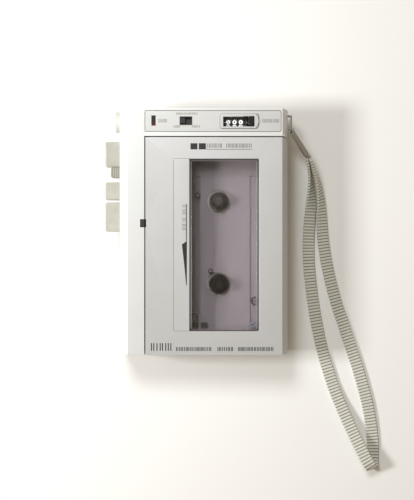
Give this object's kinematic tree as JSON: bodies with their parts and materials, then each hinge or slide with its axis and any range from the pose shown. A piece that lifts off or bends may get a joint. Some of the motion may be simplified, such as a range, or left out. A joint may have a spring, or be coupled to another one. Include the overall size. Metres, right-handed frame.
{
  "type": "portable cassette recorder",
  "caption": "Flat portable cassette recorder with a windowed door, side keys, a tape counter, a volume knob and a wrist strap.",
  "frame": {"origin": "centre of the rear face, which the recorder lies on", "axes": "+Z out of the face with the door, +Y towards the control band with the tape counter, +X towards the door's hinge side"},
  "size_m": [0.1433, 0.1885, 0.0335],
  "materials": {
    "satin_silver": "satin silver paint over moulded plastic",
    "rear_silver": "fine grained silver plastic",
    "plate_silver": "brushed and clear lacquered",
    "smoked_glass": "dark clear plastic",
    "tinted_lens": "clear plastic with a faint mauve tint",
    "black_plastic": "fine grained",
    "black_gloss": "polished",
    "key_grey": "warm light grey plastic",
    "key_dark": "darker warm grey plastic",
    "pale_plastic": "near white plastic",
    "mauve_plastic": "mauve grey moulding",
    "steel": "plated",
    "chrome": "polished",
    "brass": "turned",
    "rubber": "moulded",
    "red_lens": "dark red clear plastic",
    "white_nylon": "moulded",
    "board_green": "lacquered laminate",
    "cell_wrap": "printed film",
    "webbing": "woven grey webbing"
  },
  "bodies": {
    "case": {"front_housing": "satin_silver", "rear_housing": "rear_silver", "case_screws": "steel", "control_plate": "plate_silver", "counter_bezel": "satin_silver", "counter_glass": "smoked_glass", "hinge_pin": "steel", "battery_light": "red_lens", "switch_body": "black_plastic", "counter_frame": "black_plastic", "counter_shaft": "steel", "counter_belt": "rubber", "deck_plate": "steel", "deck_liner": "mauve_plastic", "deck_screws": "steel", "spindle_bushes": "brass", "capstan_bearing": "brass", "motor": "steel", "drive_belt": "rubber", "volume_control": "black_plastic", "circuit_board": "board_green", "speaker": "black_plastic", "microphone": "black_plastic", "signal_jacks": "black_plastic", "power_jack": "black_plastic", "batteries": "cell_wrap", "battery_contacts": "steel", "strap_bail": "steel", "strap_ferrule": "chrome", "wrist_strap": "webbing"},
    "door": {"door_shell": "satin_silver", "window_lens": "tinted_lens", "window_side_strip": "satin_silver", "cassette_guides": "black_plastic"},
    "latch": {"door_latch": "black_plastic"},
    "tone_switch": {"tone_switch_knob": "black_plastic"},
    "ones_drum": {"counter_drum_ones": "black_gloss"},
    "tens_drum": {"counter_drum_tens": "black_gloss"},
    "hundreds_drum": {"counter_drum_hundreds": "black_gloss"},
    "reset_button": {"counter_reset_button": "black_gloss"},
    "counter_drive": {"counter_worm": "white_nylon"},
    "supply_reel": {"supply_spindle": "black_gloss", "supply_pulley": "white_nylon"},
    "takeup_reel": {"takeup_spindle": "black_gloss", "takeup_wheel": "white_nylon"},
    "idler": {"idler_wheel": "rubber"},
    "flywheel_and_capstan": {"flywheel": "brass", "capstan_shaft": "steel"},
    "motor_rotor": {"motor_pulley": "brass"},
    "pinch_lever": {"pinch_arm": "steel"},
    "roller": {"pinch_roller": "rubber"},
    "head_carriage": {"head_slide": "steel", "record_head": "steel", "erase_head": "black_plastic"},
    "fast_wind": {"fast_wind_key": "key_grey"},
    "record": {"record_key": "key_dark"},
    "play": {"play_key": "key_grey"},
    "stop_eject": {"stop_eject_key": "key_grey"},
    "volume": {"volume_knob": "pale_plastic"},
    "battery_lid": {"battery_cover": "rear_silver"}
  },
  "joints": [
    {"name": "door_hinge", "type": "hinge", "parent": "case", "child": "door", "pos_m": [0.042, 0, 0.0214], "axis": [0, 1, 0], "range_deg": [0, 60]},
    {"name": "fast_wind_key_press", "type": "slide", "parent": "case", "child": "fast_wind", "axis": [1, 0, 0], "range_m": [0, 0.004], "stiffness_N_per_m": 400, "springref_m": -0.002},
    {"name": "record_key_press", "type": "slide", "parent": "case", "child": "record", "axis": [1, 0, 0], "range_m": [0, 0.004], "stiffness_N_per_m": 400, "springref_m": -0.002},
    {"name": "play_key_press", "type": "slide", "parent": "case", "child": "play", "axis": [1, 0, 0], "range_m": [0, 0.004], "stiffness_N_per_m": 400, "springref_m": -0.002},
    {"name": "stop_eject_key_press", "type": "slide", "parent": "case", "child": "stop_eject", "axis": [1, 0, 0], "range_m": [0, 0.004], "stiffness_N_per_m": 400, "springref_m": -0.002},
    {"name": "head_carriage_slide", "type": "slide", "parent": "case", "child": "head_carriage", "axis": [1, 0, 0], "range_m": [0, 0.004]},
    {"name": "pinch_lever_pivot", "type": "hinge", "parent": "case", "child": "pinch_lever", "pos_m": [-0.033, -0.045, 0.019], "axis": [0, 0, -1], "range_deg": [0, 4.5]},
    {"name": "pinch_roller_spin", "type": "hinge", "parent": "pinch_lever", "child": "roller", "pos_m": [-0.0275, -0.0355, 0.023], "axis": [0, 0, 1], "continuous": true},
    {"name": "latch_drop", "type": "slide", "parent": "case", "child": "latch", "axis": [0, 0, -1], "range_m": [0, 0.0012]},
    {"name": "flywheel_spin", "type": "hinge", "parent": "case", "child": "flywheel_and_capstan", "pos_m": [-0.021, -0.0355, 0.012], "axis": [0, 0, 1], "continuous": true},
    {"name": "motor_spin", "type": "hinge", "parent": "case", "child": "motor_rotor", "pos_m": [-0.024, 0.005, 0.012], "axis": [0, 0, 1], "continuous": true},
    {"name": "idler_spin", "type": "hinge", "parent": "case", "child": "idler", "pos_m": [-0.00804, -0.03158, 0.0147], "axis": [0, 0, 1], "continuous": true},
    {"name": "takeup_spin", "type": "hinge", "parent": "case", "child": "takeup_reel", "pos_m": [0.0078, -0.0268, 0.018], "axis": [0, 0, 1], "continuous": true},
    {"name": "supply_spin", "type": "hinge", "parent": "case", "child": "supply_reel", "pos_m": [0.0078, 0.0157, 0.018], "axis": [0, 0, 1], "continuous": true},
    {"name": "counter_drive_spin", "type": "hinge", "parent": "case", "child": "counter_drive", "pos_m": [0.0236, 0.0574, 0.018], "axis": [0, 0, 1], "continuous": true},
    {"name": "ones_drum_spin", "type": "hinge", "parent": "case", "child": "ones_drum", "pos_m": [0.0187, 0.0555, 0.0268], "axis": [1, 0, 0], "continuous": true},
    {"name": "tens_drum_spin", "type": "hinge", "parent": "case", "child": "tens_drum", "pos_m": [0.0155, 0.0555, 0.0268], "axis": [1, 0, 0], "continuous": true},
    {"name": "hundreds_drum_spin", "type": "hinge", "parent": "case", "child": "hundreds_drum", "pos_m": [0.0123, 0.0555, 0.0268], "axis": [1, 0, 0], "continuous": true},
    {"name": "counter_reset_press", "type": "slide", "parent": "case", "child": "reset_button", "axis": [0, 0, -1], "range_m": [0, 0.001], "stiffness_N_per_m": 300, "springref_m": -0.001},
    {"name": "tone_switch_slide", "type": "slide", "parent": "case", "child": "tone_switch", "axis": [1, 0, 0], "range_m": [0, 0.003]},
    {"name": "volume_turn", "type": "hinge", "parent": "case", "child": "volume", "pos_m": [-0.043, 0.0564, 0.0196], "axis": [1, 0, 0], "range_deg": [-140, 140]},
    {"name": "battery_lid_slide", "type": "slide", "parent": "case", "child": "battery_lid", "axis": [0, -1, 0], "range_m": [0, 0.012]}
  ],
  "couplings": [
    {"joint": "head_carriage_slide", "follows": "play_key_press", "ratio": 1},
    {"joint": "pinch_lever_pivot", "follows": "play_key_press", "rad_per_m": 19.199},
    {"joint": "latch_drop", "follows": "stop_eject_key_press", "ratio": 0.3},
    {"joint": "motor_spin", "follows": "flywheel_spin", "ratio": 7},
    {"joint": "idler_spin", "follows": "flywheel_spin", "ratio": -0.19923},
    {"joint": "takeup_spin", "follows": "flywheel_spin", "ratio": 0.42308},
    {"joint": "counter_drive_spin", "follows": "supply_spin", "ratio": 1.36},
    {"joint": "ones_drum_spin", "follows": "supply_spin", "ratio": 0.05},
    {"joint": "tens_drum_spin", "follows": "supply_spin", "ratio": 0.005},
    {"joint": "hundreds_drum_spin", "follows": "supply_spin", "ratio": 0.0005}
  ]
}
